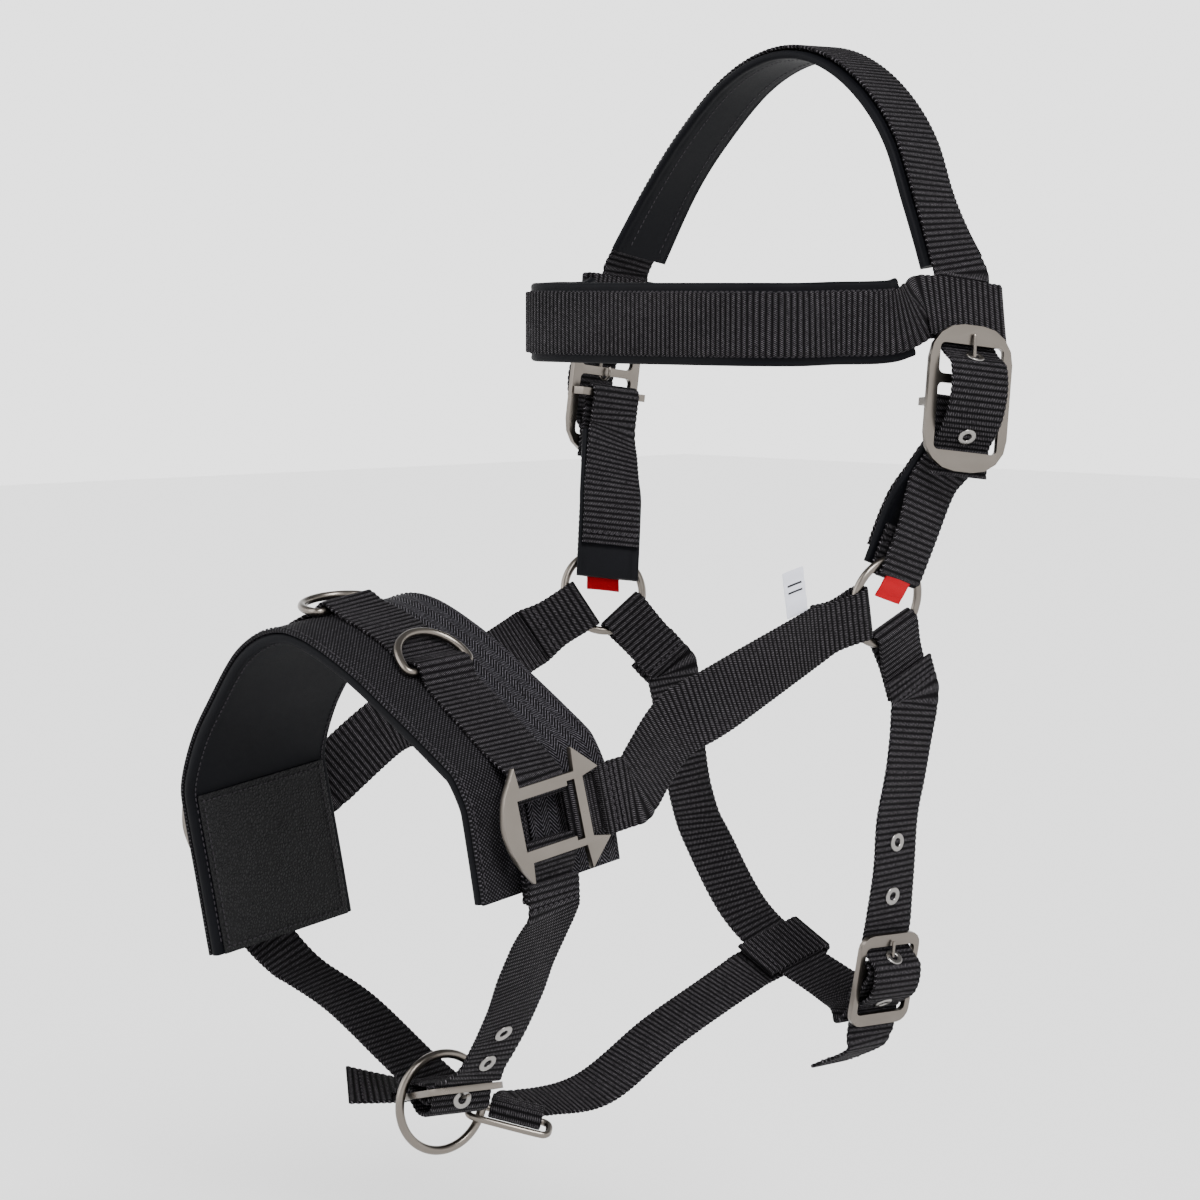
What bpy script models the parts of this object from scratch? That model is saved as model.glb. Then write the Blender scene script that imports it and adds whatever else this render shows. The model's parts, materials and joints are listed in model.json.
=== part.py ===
"""Webbing headcollar with a padded noseband and three lunge rings, for a full-size horse.

Frame: +Z is up, the nose points along -Y and the horse's left side is +X.
The origin is the poll, on the mid-plane, under the crown.
Lengths in this script are millimetres, and become metres when a mesh is made.
"""
import bpy
import bmesh
import math
from mathutils import Matrix, Vector

# ---------------------------------------------------------------- driving dimensions
WEB_WIDTH = 30.0          # flat webbing
WEB_THICK = 1.8
GAP = 0.4                 # clearance between pieces that touch on the real object
RING_OUTER = 46.0         # cheek rings, outside diameter
RING_WIRE = 4.4
RING_SIDES = 32           # steps round a ring
WIRE_SIDES = 8            # facets round a wire
FOLD_STEPS = 7            # steps in a strap's turn round a bar
CHIN_RING_OUTER = 50.0
CHIN_RING_WIRE = 4.6
LUNGE_WIDTH = 40.0        # D-rings, outside, along the bar
LUNGE_DEPTH = 27.0
LUNGE_WIRE = 4.6
PAD_THICK = 4.0           # foam linings of crown and browband
CROWN_PAD_WIDTH = 38.0
BROW_PAD_WIDTH = 39.0
NOSE_WIDTH = 84.0         # noseband pad, front to rear
NOSE_THICK = 5.0
NOSE_TILT = math.radians(8.0)
NOSE_MIDDLE = -317.0      # middle of the noseband along its own front-to-rear axis
EYELET_OUTER = 4.6        # radii
EYELET_TUBE = 3.2
EYELET_HOLE = 2.6
STEP = 9.0                # spacing of the stations along a strap


def vec(*xyz):
    return Vector(xyz)


# ---------------------------------------------------------------- materials
def material(name, colour, roughness, metallic=0.0):
    made = bpy.data.materials.new(name)
    made.use_nodes = True
    shader = made.node_tree.nodes["Principled BSDF"]
    shader.inputs["Base Color"].default_value = (*colour, 1.0)
    shader.inputs["Roughness"].default_value = roughness
    shader.inputs["Metallic"].default_value = metallic
    return made


def clear_scene():
    for old in list(bpy.data.objects):
        bpy.data.objects.remove(old, do_unlink=True)


clear_scene()
WEBBING = material("webbing", (0.014, 0.013, 0.015), 0.75)
CANVAS = material("canvas", (0.016, 0.015, 0.018), 0.8)
FOAM = material("foam_lining", (0.010, 0.011, 0.016), 0.6)
PANEL = material("grip_panel", (0.018, 0.019, 0.022), 0.5)
NICKEL = material("satin_nickel", (0.55, 0.50, 0.46), 0.35, 1.0)
EYELET = material("bright_nickel", (0.70, 0.69, 0.67), 0.25, 1.0)
TAG = material("red_tag", (0.75, 0.02, 0.04), 0.6)
LABEL = material("white_label", (0.85, 0.86, 0.88), 0.6)


# ---------------------------------------------------------------- mesh helpers
def add_mesh(name, shape, look, smooth=False):
    """Turn a bmesh in millimetres into a named object in metres."""
    bmesh.ops.recalc_face_normals(shape, faces=shape.faces)
    if shape.calc_volume(signed=True) < 0:
        bmesh.ops.reverse_faces(shape, faces=shape.faces)
    bmesh.ops.scale(shape, vec=(0.001, 0.001, 0.001), verts=shape.verts)
    mesh = bpy.data.meshes.new(name)
    shape.to_mesh(mesh)
    shape.free()
    mesh.materials.append(look)
    if smooth:
        mesh.shade_smooth()
        mesh.set_sharp_from_angle(angle=math.radians(40))
    piece = bpy.data.objects.new(name, mesh)
    bpy.context.collection.objects.link(piece)
    return piece


def turns_at(piece, point):
    """Move a piece's origin to a point on its joint's axis; its shape stays where it is."""
    place = Vector(point) * 0.001
    piece.data.transform(Matrix.Translation(-place))
    piece.location = place
    return piece


def cut(piece, cutter):
    """Cut a piece with another one, which stays only as a wire guide."""
    cutter.hide_render = True
    cutter.display_type = "WIRE"
    hole = piece.modifiers.new("cut_" + cutter.name, "BOOLEAN")
    hole.operation = "DIFFERENCE"
    hole.object = cutter


def catmull(points, closeness=STEP):
    """A smooth curve through the points, as a list about `closeness` apart."""
    padded = [points[0] * 2 - points[1]] + list(points) + [points[-1] * 2 - points[-2]]
    curve = []
    for i in range(1, len(padded) - 2):
        before, start, end, after = padded[i - 1:i + 3]
        count = max(1, round((end - start).length / closeness))
        for k in range(count):
            t = k / count
            curve.append(0.5 * (2 * start + (end - before) * t
                                + (2 * before - 5 * start + 4 * end - after) * t * t
                                + (3 * start - before - 3 * end + after) * t ** 3))
    curve.append(points[-1].copy())
    return curve


def route(*stations, closeness=STEP):
    """Smooth stations from hand-placed (point, width direction) pairs.

    The length of a width direction scales the strap's width there.
    """
    six = [Vector((*point, *(Vector(across) * WEB_WIDTH))) for point, across in stations]
    return [(Vector(s[:3]), Vector(s[3:]) / WEB_WIDTH) for s in catmull(six, closeness)]


def between(first, second, count):
    """Stations on the straight way from one station to the next, both left out."""
    steps = [(k + 1) / (count + 1) for k in range(count)]
    return [(first[0].lerp(second[0], t), first[1].lerp(second[1], t)) for t in steps]


SLANT = vec(1.0, 1.3, 1.7)


def split(shape, quad):
    """Two triangles, parted the same way on layers that lie parallel to each other."""
    a, b, c, d = quad
    if abs((c.co - a.co).dot(SLANT)) > abs((d.co - b.co).dot(SLANT)):
        shape.faces.new((a, b, c))
        shape.faces.new((a, c, d))
    else:
        shape.faces.new((a, b, d))
        shape.faces.new((b, c, d))


def ribbon(name, stations, look, width=WEB_WIDTH, thick=WEB_THICK):
    """A flat strap: a thin rectangle carried along the stations."""
    shape = bmesh.new()
    rows = []
    last = len(stations) - 1
    for i, (point, across) in enumerate(stations):
        along = (stations[min(i + 1, last)][0] - stations[max(i - 1, 0)][0]).normalized()
        flat = (across - along * across.dot(along)).normalized()
        half_w = flat * across.length * width / 2
        half_t = flat.cross(along) * thick / 2
        corners = (-half_w - half_t, half_w - half_t, half_w + half_t, -half_w + half_t)
        rows.append([shape.verts.new(point + corner) for corner in corners])
    for first, second in zip(rows, rows[1:]):
        for k in range(4):
            split(shape, (first[k], first[(k + 1) % 4], second[(k + 1) % 4], second[k]))
    shape.faces.new(rows[0][::-1])
    shape.faces.new(rows[-1])
    return add_mesh(name, shape, look)


def wire(name, path, radius, look, closed=False, side=None):
    """A round wire along a path; one of its facets faces the way `side` starts."""
    shape = bmesh.new()
    count = len(path)
    rows = []
    for i, point in enumerate(path):
        after = path[(i + 1) % count] if closed else path[min(i + 1, count - 1)]
        before = path[i - 1] if closed else path[max(i - 1, 0)]
        along = (after - before).normalized()
        side = along.orthogonal() if side is None else side - along * side.dot(along)
        side = side.normalized()
        other = along.cross(side)
        rows.append([shape.verts.new(point + radius * (math.cos(a) * side + math.sin(a) * other))
                     for a in (math.tau * (k + 0.5) / WIRE_SIDES for k in range(WIRE_SIDES))])
    pairs = list(zip(rows, rows[1:]))
    if closed:
        pairs.append((rows[-1], rows[0]))
    for first, second in pairs:
        for k in range(WIRE_SIDES):
            shape.faces.new((first[k], first[(k + 1) % WIRE_SIDES],
                             second[(k + 1) % WIRE_SIDES], second[k]))
    if not closed:
        shape.faces.new(rows[0][::-1])
        shape.faces.new(rows[-1])
    return add_mesh(name, shape, look, smooth=True)


class Place:
    """A local frame: `along` runs away from a bar, `out` points away from the horse."""

    def __init__(self, origin, along, out):
        self.origin = Vector(origin)
        self.along = Vector(along).normalized()
        self.out = (Vector(out) - self.along * Vector(out).dot(self.along)).normalized()
        self.across = self.out.cross(self.along)

    def at(self, along=0.0, out=0.0, across=0.0):
        return self.origin + self.along * along + self.out * out + self.across * across

    def stations(self, pairs, scale=1.0):
        return [(self.at(a, o), self.across * scale) for a, o in pairs]


LAYER = (WEB_THICK + GAP) / 2


def fold(bar_radius, lead=13.0, drop=0.0, half=LAYER):
    """Side view of a strap end folded round a bar: outer layer, turn, inner layer."""
    radius = bar_radius + GAP + WEB_THICK / 2
    reach = math.hypot(lead + drop, half)
    start = math.atan2(half, lead + drop) + math.acos(radius / reach)
    turn = [start + (math.tau - 2 * start) * k / FOLD_STEPS for k in range(FOLD_STEPS + 1)]
    arc = [(radius * math.cos(a) - drop, radius * math.sin(a)) for a in turn]
    return [(lead, half)] + arc + [(lead, -half)]


def ring(name, centre, axis, outer, wire_diameter):
    axis = Vector(axis).normalized()
    up = vec(0, 0, 1)
    first = (up - axis * up.dot(axis)).normalized()
    second = axis.cross(first)
    radius = (outer - wire_diameter) / 2
    turn = [math.tau * k / RING_SIDES for k in range(RING_SIDES)]
    path = [Vector(centre) + radius * (math.cos(a) * first + math.sin(a) * second) for a in turn]
    made = wire(name, path, wire_diameter / 2, NICKEL, closed=True, side=first)
    return turns_at(made, centre)


def eyelet(name, strap, point, axis):
    """A rolled eyelet through a strap, and the hole that it needs."""
    flange = WEB_THICK / 2 + 0.3
    rim = flange + 0.5
    profile = [(EYELET_HOLE, -rim), (EYELET_OUTER, -rim), (EYELET_OUTER, -flange),
               (EYELET_TUBE, -flange), (EYELET_TUBE, flange), (EYELET_OUTER, flange),
               (EYELET_OUTER, rim), (EYELET_HOLE, rim)]
    turn = Vector((0, 0, 1)).rotation_difference(Vector(axis)).to_matrix()
    sides = 12
    shape = bmesh.new()
    rows = []
    for k in range(sides):
        a = math.tau * k / sides
        rows.append([shape.verts.new(Vector(point) + turn @ vec(r * math.cos(a), r * math.sin(a), h))
                     for r, h in profile])
    for k in range(sides):
        first, second = rows[k], rows[(k + 1) % sides]
        for j in range(len(profile)):
            m = (j + 1) % len(profile)
            shape.faces.new((first[j], first[m], second[m], second[j]))
    add_mesh(name, shape, EYELET, smooth=True)
    drill = bmesh.new()
    bmesh.ops.create_cone(drill, cap_ends=True, segments=sides, radius1=EYELET_TUBE + 0.4,
                          radius2=EYELET_TUBE + 0.4, depth=4 * WEB_THICK,
                          matrix=Matrix.Translation(point) @ turn.to_4x4())
    cut(strap, add_mesh(name + "_drill", drill, EYELET))


def slab(shape, place, outline, low, high):
    """Extrude an outline, given as (along, across) points, between two heights."""
    rings = []
    for height in (low, high):
        rings.append([shape.verts.new(place.at(a, height, s)) for a, s in outline])
    count = len(outline)
    for k in range(count):
        m = (k + 1) % count
        shape.faces.new((rings[0][k], rings[0][m], rings[1][m], rings[1][k]))
    shape.faces.new(rings[0][::-1])
    shape.faces.new(rings[1])


def plate(name, place, outline, low, high, look):
    shape = bmesh.new()
    slab(shape, place, outline, low, high)
    return add_mesh(name, shape, look)


def rounded(length, width, corner, steps=4):
    """A rounded rectangle as (along, across) points."""
    points = []
    for turn, (sign_a, sign_s) in enumerate(((1, 1), (-1, 1), (-1, -1), (1, -1))):
        centre = (sign_a * (length / 2 - corner), sign_s * (width / 2 - corner))
        for k in range(steps + 1):
            a = math.pi / 2 * (turn + k / steps)
            points.append((centre[0] + corner * math.cos(a), centre[1] + corner * math.sin(a)))
    return points


def join(piece, other):
    """Weld another solid onto a piece, so that both are one body."""
    cut(piece, other)
    piece.modifiers[-1].operation = "UNION"
    piece.modifiers[-1].name = "weld_" + other.name


# ---------------------------------------------------------------- buckles
def rounded_slab(name, place, size, corner, shift, low, high):
    outline = [(a + shift, s) for a, s in rounded(*size, corner)]
    return plate(name, place, outline, low, high, NICKEL)


def buckle(name, place, length, width, end, rail, bar_at, corner, strap_bar=None):
    """A flat frame with a bar for the tongue and, on the crown, a lower strap bar."""
    inner = width - 2 * rail
    top, bottom = length / 2 - end, end - length / 2
    frame = rounded_slab(name, place, (length, width), corner, 0.0, -1.5, 1.5)
    for label, low, high in (("upper", bar_at + 2.2, top), ("lower", bottom, bar_at - 2.2)):
        window = rounded_slab(f"{name}_{label}_window", place, (high - low, inner), 2.5,
                              (high + low) / 2, -4.0, 4.0)
        cut(frame, window)
    if strap_bar:
        along, depth = strap_bar
        turned = Place(place.at(along), place.out, place.along)
        half, leg = width / 2 - 1.0, inner / 2 + 0.6
        staple = [(-1.0, half), (-depth - 1.6, half), (-depth - 1.6, -half), (-1.0, -half),
                  (-1.0, -leg), (-depth + 1.6, -leg), (-depth + 1.6, leg), (-1.0, leg)]
        join(frame, plate(name + "_strap_bar", turned, staple, -1.9, 1.9, NICKEL))
    return frame


def tongue(name, place, bar_at, reach, knuckle, radius):
    """A wire tongue wrapped round the bar, its tip resting on the frame's end."""
    turn = [math.radians(-50 - 220 * k / 9) for k in range(10)]
    path = [place.at(bar_at + knuckle * math.cos(a), knuckle * math.sin(a)) for a in turn]
    rest = 1.5 + GAP + radius
    path += [place.at(bar_at + (reach - bar_at) * t, knuckle + (rest - knuckle) * t ** 2)
             for t in (0.3, 0.6, 0.85, 1.0)]
    return turns_at(wire(name, path, radius, NICKEL), place.at(bar_at))


CROWN_BUCKLE = dict(length=70.0, width=44.0, end=9.5, rail=5.0, bar_at=8.5, corner=17.0,
                    strap_bar=(-3.0, 8.0))
SMALL_BUCKLE = dict(length=47.0, width=38.0, end=6.0, rail=3.3, bar_at=5.0, corner=7.0)
CROWN_BILLET = [(-37, -3.4), (-27.5, -3.5), (-22, -2.4), (-17.7, 1.6), (-11, 7.4), (-3, 10.6),
                (5, 11.6), (11.5, 10.6), (16.4, 8.45), (19, 3.95), (21.6, -0.55), (24, -3.4),
                (26.8, -5.2)]
SMALL_BILLET = [(-30, -3.4), (-20.5, -3.6), (-15.2, -2.6), (-11.2, 1.6), (-6, 7.1), (0, 9.2),
                (5, 9.2), (9.45, 7.97), (11.8, 3.9), (14.15, -0.17), (16, -2.7), (18.5, -3.6),
                (27, -3.6)]
CROWN_HOLE, SMALL_HOLE, LOW_HOLE = 9, 8, 3    # places of eyelets on the billets


def on_path(place, pairs, index):
    """Point and outward direction of a strap at one of its side-view pairs."""
    before, here, after = (Vector(pairs[index + k]) for k in (-1, 0, 1))
    run = (after - before).normalized()
    return place.at(*here), place.out * run.x - place.along * run.y


def ring_place(centre, normal, angle, radius):
    """The place on a ring where a strap is looped, at an angle from its rear side."""
    normal = Vector(normal).normalized()
    rear = Vector((0, 1, 0))
    rear = (rear - normal * rear.dot(normal)).normalized()
    up = normal.cross(rear)
    up = up if up.z > 0 else -up
    turn = math.radians(angle)
    along = math.cos(turn) * rear + math.sin(turn) * up
    return Place(Vector(centre) + along * radius, along, normal)


# ---------------------------------------------------------------- places of the hardware
SIDES = {"left": 1, "right": -1}
CROWN_PLACE = {
    "left": Place((125, -19, -166), (-0.03, 0.14, 0.99), (0.927, -0.375, 0)),
    "right": Place((-125, -18, -166), (0.03, 0.12, 0.99), (-0.996, 0.087, 0)),
}
RING_CENTRE = {"left": vec(97, -45, -263), "right": vec(-97, -45, -270)}
RING_NORMAL = {"left": vec(0.975, -0.09, -0.19), "right": vec(-0.86, 0.48, -0.18)}
RING_RADIUS = (RING_OUTER - RING_WIRE) / 2
CHEEK_ANGLE = {"left": 199, "right": 201}
THROAT_ANGLE = {"left": 299, "right": 301}
THROAT_PLACE = Place((79, -24, -451), (0.2, 0, 0.98), (0.98, -0.1, -0.2))
CHIN_PLACE = Place((8, -246, -484), (0.933, -0.25, 0.26), (0.25, -0.07, -0.966))


def nose(u, k, v):
    """World point from the noseband's own axes: u to the left, k rearward, v up."""
    c, s = math.cos(NOSE_TILT), math.sin(NOSE_TILT)
    return vec(u, k * c - v * s, k * s + v * c)


NOSE_REAR = nose(0, 1, 0)
NOSE_UP = nose(0, 0, 1)
FITTING_PLACE = {
    "left": Place(nose(106.6, -322, -300), NOSE_UP - vec(0.133, 0, 0), (1, 0, 0)),
    "right": Place(nose(-110.6, -322, -322), NOSE_UP + vec(-0.08, 0, 0), (-1, 0, 0)),
}


# ---------------------------------------------------------------- crown and browband
def crown():
    ends = {}
    for side, place in CROWN_PLACE.items():
        billet = place.stations(CROWN_BILLET, SIDES[side])
        lower = billet[-1][0]
        aim = vec(108 * SIDES[side], -8, -109) if side == "left" else vec(-114, -9, -100)
        forward = place.across * SIDES[side]
        tangent = aim - lower
        tangent = (tangent - forward * tangent.dot(forward)).normalized()
        ends[side] = (billet, lower, tangent, forward)
    near, far = ends["left"], ends["right"]
    rear_to_front = vec(0, -1, 0)
    arch = [near[1] + near[2] * 36, vec(92, -5, -71.5), vec(77.5, -3, -41), vec(59.5, -2, -19),
            vec(37, -1, -3), vec(12, 0, 5.2), vec(-14, 0, 3.6), vec(-41.5, -1, -9),
            vec(-70, -2, -34), vec(-93, -4, -62), far[1] + far[2] * 36]
    widths = [near[3]] + [rear_to_front] * (len(arch) - 2) + [far[3]]
    over = route(*zip(arch, widths))
    stations = (near[0] + [(near[1] + near[2] * 33, near[3])] + over
                + [(far[1] + far[2] * 33, far[3])] + far[0][::-1])
    strap = ribbon("crown_strap", stations, WEBBING)
    for side, place in CROWN_PLACE.items():
        for number, index in ((1, CROWN_HOLE), (2, LOW_HOLE)):
            point, axis = on_path(place, CROWN_BILLET, index)
            eyelet(f"crown_eyelet_{side}_{number}", strap, point, axis)
    lining = offset(over, WEB_THICK / 2 + 3 * GAP + PAD_THICK / 2)[1:-1]
    ribbon("crown_lining", lining, FOAM, CROWN_PAD_WIDTH, PAD_THICK)
    return {side: end[1:] for side, end in ends.items()}

def offset(stations, distance):
    """The same strap moved along its own normal, which points to the horse."""
    moved = []
    last = len(stations) - 1
    for i, (point, across) in enumerate(stations):
        along = (stations[min(i + 1, last)][0] - stations[max(i - 1, 0)][0]).normalized()
        flat = (across - along * across.dot(along)).normalized()
        moved.append((point + flat.cross(along) * distance, across))
    return moved


def browband(ends):
    loops = {}
    for side in SIDES:
        lower, tangent, forward = ends[side]
        normal = forward.cross(tangent) * -SIDES[side]
        loops[side] = Place(lower + tangent * 16.5, forward, normal)
    half = 2.5
    around = fold(1.6, lead=22.0, drop=17.6, half=half)
    near = loops["left"].stations(around[::-1], -1.0)
    far = loops["right"].stations(around, 1.0)
    corner, reach = 40.0, vec(98, -120)
    front = [vec(108, -50), vec(98, -82)]
    front += [vec(reach.x - corner + corner * math.cos(a), reach.y + corner - corner * math.sin(a))
              for a in map(math.radians, (30, 60, 90))]
    plan = front + [vec(20, -121.5), vec(-20, -121.5)]
    plan += [vec(-p.x, p.y) for p in front[::-1]]
    heights = [-129.0, -130.0] + [-130.5] * (len(plan) - 4) + [-130.0, -129.0]
    middle = [(vec(p.x, p.y, z), vec(0, 0, 1)) for p, z in zip(plan, heights)]
    stations = route(near[-1], *middle, far[0])
    ribbon("browband_strap", near[:-1] + stations + far[1:], WEBBING)
    lining = offset(stations, -(WEB_THICK / 2 + 2 * GAP + PAD_THICK / 2))[2:-2]
    ribbon("browband_lining", lining, FOAM, BROW_PAD_WIDTH, PAD_THICK)


# ---------------------------------------------------------------- cheeks
def cheekpiece(side):
    """From the buckle's lower bar round the ring, with a foam lining inside it."""
    buckle_place = CROWN_PLACE[side]
    bar = buckle_place.at(-3.0, -8.0)
    centre, normal = RING_CENTRE[side], RING_NORMAL[side]
    upward = bar - centre
    normal = (normal - upward * normal.dot(upward) / upward.length_squared).normalized()
    ring(f"cheek_ring_{side}", centre, normal, RING_OUTER, RING_WIRE)
    low = Place(centre + upward.normalized() * RING_RADIUS, upward, normal)
    high = Place(bar, -buckle_place.along, buckle_place.out)
    lining_thick, layer = 2.8, 3.5
    middle = -(RING_WIRE / 2 + GAP * 3 + WEB_THICK + lining_thick / 2)
    pad = low.stations([(-6.0 if side == "left" else -15.0, middle), (20.0, middle),
                        (30.0, middle + 1.2)])
    pad_top = high.stations([(19.0, 0.0), (9.0, 0.0)], -1.0)
    pad += between(pad[-1], pad_top[0], 2) + pad_top
    short = pad[:-2] + between(pad[-3], pad[-2], 2)
    ribbon(f"cheekpiece_lining_{side}", short, FOAM, 33.0, lining_thick)
    inner, outer = offset(pad, layer)[:-1], offset(pad, -layer)[3:-1]
    start = low.stations([(2.0, middle - layer)])
    top = high.stations(fold(2.3, lead=7.0, half=layer)[::-1], -1.0)
    bottom = low.stations(fold(RING_WIRE / 2, lead=15.0, drop=6.0, half=3.7), 0.93)
    ribbon(f"cheekpiece_{side}", start + inner[1:] + top + outer[::-1] + bottom, WEBBING)
    tag = low.stations([(-11.6, 2.4), (-17.4, 1.2)])
    ribbon(f"side_tag_{side}", tag, TAG, 17.0, 1.0)
    return normal


OVER = LAYER + WEB_THICK + GAP        # a strap sewn on the outside of its tab


def tab(name, place, bar_radius, length=22.0, drop=0.0, scale=0.93):
    """A short sewn loop round a bar; the strap proper lies over it."""
    sides = [(length, LAYER)] + fold(bar_radius, 11.0, drop) + [(length, -LAYER)]
    ribbon(name, place.stations(sides, scale), WEBBING)


def cheek_strap(side, normal):
    """From the cheek ring down to the noseband's side fitting, with its sewn tab."""
    place = ring_place(RING_CENTRE[side], normal, CHEEK_ANGLE[side], RING_RADIUS)
    loop = place.stations(fold(RING_WIRE / 2 + GAP, lead=12.0, drop=4.8), 0.86)
    start = place.stations([(24.0, -LAYER)])
    fitting = FITTING_PLACE[side]
    bar = Place(fitting.at(0.0, 0.0, -17.5 * SIDES[side]), NOSE_REAR, fitting.out)
    tab(f"cheek_tab_{side}", bar, 3.1, 24.0, scale=0.86)
    slant = 0.36 * SIDES[side]
    width = bar.along * slant - bar.across
    level, drop = (-300, -312) if side == "left" else (-318, -328)
    x = 99 * SIDES[side]
    end = [(vec(x, -160, level), width), (vec(x, -192, drop), width),
           (bar.at(34.0, OVER + 0.3), width), (bar.at(26.0, OVER + 0.3), width),
           (bar.at(13.0, OVER + 0.3), width)]
    run = route((place.at(24.0, LAYER), place.across), *end)
    ribbon(f"cheek_strap_{side}", start + loop[::-1] + run, WEBBING)


def cheeks():
    normals = {}
    for side in SIDES:
        normals[side] = cheekpiece(side)
        buckle(f"crown_buckle_{side}", CROWN_PLACE[side], **CROWN_BUCKLE)
        tongue(f"crown_tongue_{side}", CROWN_PLACE[side], CROWN_BUCKLE["bar_at"], 31.0, 4.2, 1.0)
        cheek_strap(side, normals[side])
    return normals


# ---------------------------------------------------------------- noseband
NOSE_ARCH = [(-99, -381), (-102, -345), (-105, -312), (-104, -297), (-92, -275), (-76, -256),
             (-50, -230), (-25, -218.5), (-2, -219.5), (28, -232), (55, -248.5), (80, -265),
             (93, -275), (99, -287), (101, -305), (102.5, -331)]
LUNGE_AT = {"right": -80.0, "centre": -18.0, "left": 44.0}
LUNGE_RISE = {"right": 1, "centre": -1, "left": -1}      # the way each D-ring lies
LUNGE_LIFT = math.radians(7.0)


def arch(k=NOSE_MIDDLE):
    """Stations of the noseband's outer surface, from the right flap to the left one."""
    return [(nose(p.x, k, p.y), NOSE_REAR) for p in catmull([vec(*p) for p in NOSE_ARCH])]


def overlay_row(u):
    """The overlay strap slants forward towards the side fittings."""
    return NOSE_MIDDLE - 7.5 * max(0.0, (abs(u) - 20.0) / 85.0)


def lunge_place(which):
    """Place of a D-ring's bar on the noseband's outer surface."""
    u = LUNGE_AT[which]
    curve = catmull([vec(*p) for p in NOSE_ARCH], 2.0)
    here = min(range(len(curve)), key=lambda i: abs(curve[i].x - u) + (curve[i].y < -300) * 99)
    points = [nose(curve[i].x, overlay_row(curve[i].x), curve[i].y) for i in (here - 3, here + 3)]
    run = (points[1] - points[0]).normalized()
    out = run.cross(NOSE_REAR)
    return Place((points[0] + points[1]) / 2, run, out if out.z > 0 else -out)


def lunge_ring(which):
    """A bent wire whose straight bar sits in the overlay's tunnel."""
    seat = lunge_place(which)
    tilt = Place(seat.at(0.0, 2.7), seat.along * LUNGE_RISE[which] + seat.out * math.tan(LUNGE_LIFT),
                 seat.out)
    half, corner = (LUNGE_WIDTH - LUNGE_WIRE) / 2, 3.0
    depth = LUNGE_DEPTH - LUNGE_WIRE - half
    path = [(0.0, s) for s in (-9.0, 0.0, 9.0)]
    path += [(corner - corner * math.cos(a), half - corner + corner * math.sin(a))
             for a in map(math.radians, (0, 30, 60, 90))]
    path += [(depth + half * math.sin(a), half * math.cos(a))
             for a in (math.pi * k / 14 for k in range(15))]
    path += [(corner - corner * math.cos(a), corner - half - corner * math.sin(a))
             for a in map(math.radians, (90, 60, 30, 0))]
    bent = wire(f"lunge_ring_{which}", [tilt.at(a, 0.0, s) for a, s in path], LUNGE_WIRE / 2,
                NICKEL, closed=True, side=tilt.along)
    turns_at(bent, tilt.origin)
    return tilt


BUMP = [(-10, 1.3), (-5.5, 3.6), (-3.4, 5.0), (0, 6.3), (3.4, 5.0), (5.5, 3.6), (10, 1.3)]


def overlay():
    """The strap that covers the D-ring bars and loops round both side fittings."""
    places = {which: lunge_place(which) for which in LUNGE_AT}
    ends = {}
    for side, sign in SIDES.items():
        fitting = FITTING_PLACE[side]
        bar = Place(fitting.at(13.85, 0.0, 2.5 * sign), fitting.along, fitting.out)
        ends[side] = bar.stations(fold(3.1, lead=7.0), 0.93 * -sign)
    stations, covered = ends["right"][::-1], []
    outline = catmull([vec(*p) for p in NOSE_ARCH])
    curve = offset([(nose(p.x, overlay_row(p.x), p.y), NOSE_REAR) for p in outline], -LAYER - 0.2)
    for corner, (point, across) in zip(outline, curve):
        if corner.y < (-289.0 if corner.x < 0 else -272.0):
            continue
        which = min(places, key=lambda name: (point - places[name].origin).length)
        if (point - places[which].origin).length > 15.0:
            stations.append((point, across))
        elif which not in covered:
            covered.append(which)
            stations += places[which].stations(BUMP, 0.96)
    ribbon("noseband_overlay", stations + ends["left"], WEBBING)


def side_fitting(side):
    place = FITTING_PLACE[side]
    half = [(-30, 0), (-27, 13), (-18, 25.5), (-17, 16.5), (15.5, 16.5), (16.5, 27),
            (30, 15.5), (20, 13.3)]
    whole = half + [(a, -v) for a, v in half[:0:-1]]
    sign = SIDES[side]
    piece = plate(f"side_fitting_{side}", place, [(v, -a * sign) for a, v in whole],
                  -1.5, 1.5, NICKEL)
    for label, front, rear, tall in (("window", -19.5, 15.0, 11.2), ("slot", 10.4, 15.0, 13.2)):
        outline = [(v, -a * sign) for a, v in ((front, -tall), (rear, -tall), (rear, tall),
                                               (front, tall))]
        cut(piece, plate(f"side_fitting_{side}_{label}", place, outline, -4.0, 4.0, NICKEL))


def noseband():
    surface = arch()
    ribbon("noseband_pad", offset(surface, 4.7), FOAM, NOSE_WIDTH, NOSE_THICK)
    ribbon("noseband_webbing", offset(arch(-301), WEB_THICK / 2), WEBBING, 50.0)
    ribbon("noseband_canvas", offset(arch(-343), WEB_THICK / 2), CANVAS, 32.0)
    inner = offset(surface, 8.1)
    ribbon("end_panel_right", inner[:10], PANEL, 76.0, 1.0)
    ribbon("end_panel_left", inner[-6:], PANEL, 76.0, 1.0)
    overlay()
    for side in SIDES:
        side_fitting(side)
    return {which: lunge_ring(which) for which in LUNGE_AT}


# ---------------------------------------------------------------- chin
def nearest(stations, point):
    """Index of the straight piece of a strap that is nearest to a point."""
    middles = [(a[0] + b[0]) / 2 for a, b in zip(stations, stations[1:])]
    return min(range(len(middles)), key=lambda i: (middles[i] - Vector(point)).length)


def eyelet_near(name, strap, stations, point):
    first, second = (stations[nearest(stations, point) + k] for k in (0, 1))
    along, across = second[0] - first[0], first[1] + second[1]
    eyelet(name, strap, (first[0] + second[0]) / 2, along.cross(across))


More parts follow.
